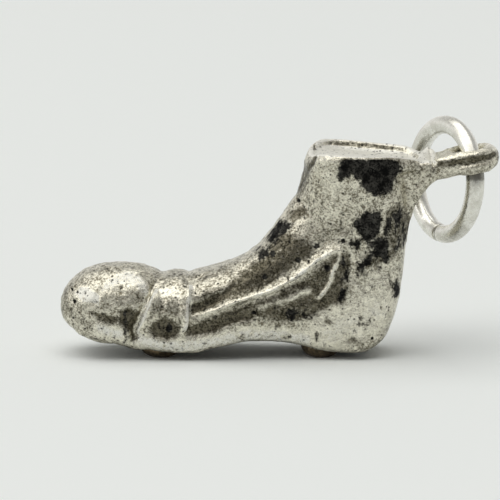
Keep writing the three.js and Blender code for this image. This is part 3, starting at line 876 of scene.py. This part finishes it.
def stainField(places, setup):
    edge = setup["stainEdge"]
    streaks = setup["streaks"]
    broken = lumps(places * streaks["squash"], streaks["size"], streaks["seed"])
    broken = streaks["gain"] * broken - streaks["loss"]
    field = np.full(len(places), bare)
    for stain in setup["stains"]:
        depth = (depthInside(places, stain["outline"]) + edge["spread"]) / edge["soft"]
        depth = np.clip(depth, *edge["limits"])
        thin = stain.get("thin", 0.0)
        field = np.maximum(field, depth * (1 - streaks["thinning"] * thin) + thin * broken)
    return field


# Strengths of the boot's polish and painted highlights, grime and painted shade, tarnish, and painted white
# highlight
def bootFields(points, normals, setup):
    x, y, z = points.T
    rim = overRim(points, setup)
    inward = -normals[:, 1] * np.sign(y)
    onSide = fade(np.abs(normals[:, 1]), *setup["facing"]["stains"])
    places = markPlaces(drawOut(points, setup), normals, setup)
    crests = foldCrests(points, normals, setup)
    grimeAndPaintedShade = markField(places, setup["dark"]) * (1 - np.clip(crests, 0, 1)) * onSide
    polishAndPaintedHighlight = markField(places, setup["bright"]) * (1 - np.clip(grimeAndPaintedShade, 0, 1))
    polishAndPaintedHighlight = np.maximum(polishAndPaintedHighlight, crests) * onSide

    dish = setup["dish"]
    # painted shade on the dish's wall and a painted reflection on its floor
    wall = fade(inward, *dish["wallFacing"]) * fade(rim, *dish["wallFoot"]) * fade(rim, *dish["wallTop"])
    grimeAndPaintedShade = np.maximum(grimeAndPaintedShade, dish["paintedWallShade"] * wall * fade(x, *dish["wallStart"]))
    floor = fade(normals[:, 2], *dish["floorFacing"]) * fade(rim, *dish["floorFoot"])
    spout = setup["spout"]
    hollow = fade(spoutDepth(points, normals, spout), *spout["brightDepth"])
    polishAndPaintedHighlight = np.maximum(polishAndPaintedHighlight, dish["floorPaintedReflection"] * floor)
    polishAndPaintedHighlight = np.maximum(polishAndPaintedHighlight, spout["polishAndPaintedHighlight"] * hollow)
    polishAndPaintedHighlight = np.maximum(polishAndPaintedHighlight, setup["rim"]["polishAndPaintedHighlight"] * fade(rim, *setup["rim"]["level"]))

    # painted shade on the leg's faces turned towards the toe
    shin = setup["shin"]
    onShin = fade(-normals[:, 0], *shin["facing"]) * fade(z, *shin["foot"]) * fade(z, *shin["top"])
    # painted shade on the faces turned down at the sole
    sole = setup["sole"]
    onSole = fade(-normals[:, 2], *sole["facing"]) * fade(z, *sole["top"])
    for share, place in ((shin["grimeAndPaintedShade"], onShin), (sole["grimeAndPaintedShade"], onSole)):
        grimeAndPaintedShade = np.maximum(grimeAndPaintedShade, share * place)
        polishAndPaintedHighlight = polishAndPaintedHighlight * (1 - place)

    outside = (inward < 0) & (onSide > 0.5)
    stains = np.where(outside, stainField(places, setup), bare)
    stains -= setup["rim"]["stainLoss"] * fade(rim, *setup["rim"]["stainLevel"])
    far = setup["farStains"]
    stains -= fade(y, *far["side"]) * (far["loss"] + lumps(points, far["size"], far["seed"]))
    scratch = cover(places, setup["scratch"])
    stains -= setup["scratch"]["loss"] * scratch
    halo = setup["halo"]["share"] * fade(stains, *setup["halo"]["level"])
    grimeAndPaintedShade = np.maximum(grimeAndPaintedShade * (1 - scratch), halo)
    pits = spotField(points, setup["pits"]) * fade(-normals[:, 1], *setup["facing"]["pits"])
    tarnish = np.maximum(stains, 2 * pits - 0.5)  # a pit is black out to three quarters of its radius
    # painted white highlight where the bright marks are strongest, outside the grime and painted shade
    frostAndPaintedHighlight = polishAndPaintedHighlight * (1 - np.clip(grimeAndPaintedShade, 0, 1))
    fields = {"grimeAndPaintedShade": grimeAndPaintedShade, "polishAndPaintedHighlight": polishAndPaintedHighlight, "frostAndPaintedHighlight": frostAndPaintedHighlight}
    return {"tarnish": tarnish, **{name: fields[name] - level for name, level in setup["levels"].items()}}


def bootCasting(setup):
    skin, points = castSkin("boot_casting", setup)
    normals = meshNormals(skin, points)
    fields = bootFields(points, normals, setup)
    points = points + normals * bootHeights(points, normals, setup)[:, None]
    points[:, 2] -= spoutDepth(points, normals, setup["spout"])
    points = roundHeel(drawOut(points, setup), setup["heel"])
    piece = makePiece("boot", skin, points, bootSilver, fields)
    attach(piece, "boot")
    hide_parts("boot_casting")


bootCasting(bootSurface)
print("boot cast")


# Hanging eye: its root runs into the tab; its face has a dark channel under a lip with a painted highlight,
# painted shade at its tip, and is darker towards its bottom
eyeSurface = {
    "voxel": 0.035,
    "rounds": 12,
    "blends": [{"middle": (23.95, 10.6), "reach": (0.4, 0.9), "rounds": 30}],
    "middle": (22.25, 10.42),
    "tilt": 9.0,
    "hole": (0.7, 0.95),  # from here out the eye swells, so that its hole stays as it is
    "swell": 0.045,
    "lumps": [(0.045, 0.6, 5), (0.015, 0.22, 6)],  # height, size and seed
    "root": {"end": 20.63, "span": 0.3, "shift": 0.2},
    "belly": {"facing": (0.0, 0.5), "span": (20.6, 22.6), "drop": 0.2},
    "tip": {"start": 23.3, "span": 0.6, "flatten": 0.5, "shift": 0.08},
    "wobble": [(0.06, 0.4, 13)],
    "channel": {"level": 0.12, "width": 0.19, "grimeAndPaintedShade": 1.2, "lumps": [(0.4, 0.5, 14)], "facing": (0.2, 0.6)},
    # darker towards the bottom of the eye
    "lowDarkening": {"level": (-0.38, -0.55), "share": 0.35},
    # painted shade at the eye's tip
    "tipPaintedShade": {"span": (23.6, 23.9), "level": (0.35, 0.2), "share": 0.9},
    # painted highlight along the upper lip
    "lip": {"level": (0.24, 0.34), "polishAndPaintedHighlight": 1.2},
    "face": {"level": (-0.08, -0.2), "polishAndPaintedHighlight": 0.4},
    "fieldLevel": 0.5,  # grime and polish show where they are stronger than this
}


# Height over the eye's tilted middle
def overMiddle(points, setup):
    x, z = setup["middle"]
    return points[:, 2] - z - (points[:, 0] - x) * math.tan(math.radians(setup["tilt"]))


def outsideHole(points, setup):
    return fade(np.hypot(points[:, 0] - setup["middle"][0], points[:, 1]), *setup["hole"])


def eyeShape(points, normals, setup):
    swell = (setup["swell"] + lumpLayers(points, setup["lumps"])) * outsideHole(points, setup)
    points = points + normals * swell[:, None]
    belly = setup["belly"]
    under = fade(-normals[:, 2], *belly["facing"]) * outsideHole(points, setup)
    points[:, 2] -= belly["drop"] * under * fade(points[:, 0], *belly["span"])
    root = setup["root"]
    points[:, 0] -= root["shift"] * fade(points[:, 0], root["end"] + root["span"], root["end"])
    tip = setup["tip"]
    share = np.clip((points[:, 0] - tip["start"]) / tip["span"], 0, 1)
    points[:, 2] -= overMiddle(points, setup) * tip["flatten"] * share**2
    points[:, 0] += tip["shift"] * share
    return points


def eyeFields(points, normals, setup):
    level = overMiddle(points, setup) + lumpLayers(points, setup["wobble"])
    channel = setup["channel"]
    darkening = channel["grimeAndPaintedShade"] + lumpLayers(points, channel["lumps"])
    darkening = darkening * np.exp(-(((level - channel["level"]) / channel["width"]) ** 2))
    grimeAndPaintedShade = darkening * fade(np.abs(normals[:, 1]), *channel["facing"])
    low = setup["lowDarkening"]
    grimeAndPaintedShade = np.maximum(grimeAndPaintedShade, low["share"] * fade(level, *low["level"]))
    tip = setup["tipPaintedShade"]
    grimeAndPaintedShade = np.maximum(grimeAndPaintedShade, tip["share"] * fade(points[:, 0], *tip["span"]) * fade(level, *tip["level"]))
    bright = [setup[name]["polishAndPaintedHighlight"] * fade(level, *setup[name]["level"]) for name in ("lip", "face")]
    polishAndPaintedHighlight = np.maximum(*bright)
    none = np.full(len(points), bare)
    shown = setup["fieldLevel"]
    return {"tarnish": none, "grimeAndPaintedShade": grimeAndPaintedShade - shown, "polishAndPaintedHighlight": polishAndPaintedHighlight - shown, "frostAndPaintedHighlight": none}


def hangingEye(setup):
    skin, points = castSkin("hanging_eye", setup)
    normals = meshNormals(skin, points)
    points = eyeShape(points, normals, setup)
    piece = makePiece("eye", skin, points, bootSilver, eyeFields(points, normals, setup))
    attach(piece, "boot")
    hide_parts("hanging_eye")


hangingEye(eyeSurface)
print("eye cast")

# Studs: low ovals, worn rough
studSurface = {
    "voxel": 0.04,
    "rounds": 10,
    "swell": 0.02,
    "lumps": [(0.03, 0.5, 7)],
    "taper": 0.34,  # share of its width lost at its foot
    "names": ["ball_stud_near", "ball_stud_far", "heel_stud_near", "heel_stud_far"],
}


def stud(nodeName, setup):
    skin, points = castSkin(nodeName, setup)
    normals = meshNormals(skin, points)
    low, high = points.min(axis=0), points.max(axis=0)
    points = points + normals * (setup["swell"] + lumpLayers(points, setup["lumps"]))[:, None]
    points[:, 2] = np.maximum(points[:, 2], low[2])
    depth = np.clip((high[2] - points[:, 2]) / (high[2] - low[2]), 0, 1)
    middle = (low + high)[:2] / 2
    points[:, :2] = middle + (points[:, :2] - middle) * (1 - setup["taper"] * depth**2)[:, None]
    piece = makePiece(nodeName.replace("_stud_", "_"), skin, points, studBrass, {})
    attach(piece, "boot")
    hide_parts(nodeName)


for studName in studSurface["names"]:
    stud(studName, studSurface)
print("studs set")

# Jump ring: round wire bent to a circle, its sawn ends nearly touching
ringShape = {
    "radius": 3.0,
    "wire": 0.5,
    "yaw": 119.5,
    "roll": 3.5,
    "split": 0.05,
    "splitAngle": -88.0,
    "corner": 0.05,  # rounding of the sawn ends
    "cornerSlope": 0.6,
    "eyeReflection": {"angle": 168.0, "spread": 6.0, "level": 0.45},  # painted dark reflection of the eye on the wire just under it
    "steps": 144,
    "around": 32,
}


def jumpRing(setup):
    low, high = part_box("jump_ring")
    yaw = Matrix.Rotation(math.radians(setup["yaw"]), 4, "Z")
    roll = Matrix.Rotation(math.radians(setup["roll"]), 4, "X")
    place = Matrix.Translation((low + high) / 2) @ yaw @ roll
    gap = setup["split"] / setup["radius"]
    start = math.radians(setup["splitAngle"]) + gap / 2
    length = 2 * math.pi - gap
    around = setup["around"]
    darkening = setup["eyeReflection"]
    points = []
    eyeReflection = []
    for step in range(setup["steps"] + 1):
        along = step / setup["steps"] * length
        angle = start + along
        fromEye = math.degrees(angle) % 360 - darkening["angle"]
        fromEnd = min(along, length - along) * setup["radius"]
        wire = setup["wire"] - setup["cornerSlope"] * max(0, setup["corner"] - fromEnd)
        for item in range(around):
            turn = 2 * math.pi * item / around
            radius = setup["radius"] + wire * math.cos(turn)
            points.append((radius * math.cos(angle), wire * math.sin(turn), radius * math.sin(angle)))
            eyeReflection.append(math.exp(-((fromEye / darkening["spread"]) ** 2)) - darkening["level"])
    faces = []
    for base in range(0, setup["steps"] * around, around):
        for item in range(around):
            other = (item + 1) % around
            faces.append((base + item, base + other, base + around + other, base + around + item))
    faces.append(tuple(reversed(range(around))))
    faces.append(tuple(setup["steps"] * around + item for item in range(around)))
    mesh = bpy.data.meshes.new("ring")
    mesh.from_pydata([place @ (Vector(point) / 1000) for point in points], [], faces)
    piece = dressPiece("ring", mesh, ringSilver, {"eyeReflection": np.array(eyeReflection)})
    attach(piece, "ring")
    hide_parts("jump_ring")


jumpRing(ringShape)
print("ring closed")

# Pale floor, soft light from above and from the left, and a sky that is brightest low behind the boot
stageSetup = {
    "floor": {"colour": (0.955, 0.985, 0.975), "roughness": 0.9, "sheen": 0.1, "radius": 6.0, "sides": 64},
    "lampColour": (1.0, 0.99, 0.96),
    "boxes": [
        {"turn": -70.0, "rise": 82.0, "away": 1.3, "size": (1.9, 1.4), "radiance": 1.33},
        {"turn": -68.0, "rise": 34.0, "away": 1.3, "size": (1.2, 0.9), "radiance": 1.3},
    ],
    "sky": {
        "front": 0.31, "back": 0.5, "horizon": 0.9, "fill": 0.57,
        "toBack": (-0.6, 0.3), "toTop": (0.25, 0.65),
        "colour": (1.0, 1.0, 0.99), "backdrop": (0.785, 0.81, 0.80),
    },
}


def addFloor(setup):
    mesh = bpy.data.meshes.new("floor")
    sides = range(setup["sides"])
    turns = [2 * math.pi * step / setup["sides"] for step in sides]
    corners = [(setup["radius"] * math.cos(turn), setup["radius"] * math.sin(turn), 0) for turn in turns]
    mesh.from_pydata(corners, [], [sides])
    material, tree, shader = newMaterial("floor_paper")
    shader["Base Color"].default_value = (*setup["colour"], 1)
    shader["Roughness"].default_value = setup["roughness"]
    shader["Specular IOR Level"].default_value = setup["sheen"]
    mesh.materials.append(material)
    floor = bpy.data.objects.new("floor", mesh)
    scene.collection.objects.link(floor)


# turn is to the right as the camera sees it, rise is up from the floor on the camera's side
def addSoftBox(box, colour):
    light = bpy.data.lights.new("soft_box", "AREA")
    light.shape = "RECTANGLE"
    light.size, light.size_y = box["size"]
    light.energy = box["radiance"] * math.pi * light.size * light.size_y
    light.color = colour
    rise = math.radians(box["rise"])
    away = Matrix.Rotation(math.radians(box["turn"]), 3, "Z") @ Vector((0, -math.cos(rise), math.sin(rise)))
    lamp = bpy.data.objects.new("soft_box", light)
    lamp.location = Vector(toRow(cameraSetup["aim"])) + away * box["away"]
    lamp.rotation_euler = away.to_track_quat("Z", "Y").to_euler()
    lamp.visible_camera = False
    scene.collection.objects.link(lamp)


def addSky(sky):
    world = bpy.data.worlds.new("studio")
    scene.world = world
    world.use_nodes = True
    tree = world.node_tree
    direction = tree.nodes.new("ShaderNodeTexCoord").outputs["Generated"]
    parts = addNode(tree, "ShaderNodeSeparateXYZ", {0: direction}).outputs
    behind = stretch(tree, parts[2], *sky["toTop"], sky["horizon"], sky["back"])
    strength = stretch(tree, parts[1], *sky["toBack"], sky["front"], behind)
    path = tree.nodes.new("ShaderNodeLightPath").outputs
    fill = stretch(tree, path["Is Glossy Ray"], 0.0, 1.0, sky["fill"], 1.0)
    strength = calc(tree, "MULTIPLY", strength, fill)
    seen = path["Is Camera Ray"]
    back = tree.nodes["Background"]
    tree.links.new(blendColour(tree, seen, sky["colour"], sky["backdrop"]), back.inputs["Color"])
    mixed = addNode(tree, "ShaderNodeMix", {0: seen, 2: strength, 3: 1.0}, data_type="FLOAT").outputs[0]
    tree.links.new(mixed, back.inputs["Strength"])


addFloor(stageSetup["floor"])
for softBox in stageSetup["boxes"]:
    addSoftBox(softBox, stageSetup["lampColour"])
addSky(stageSetup["sky"])
print("stage lit")
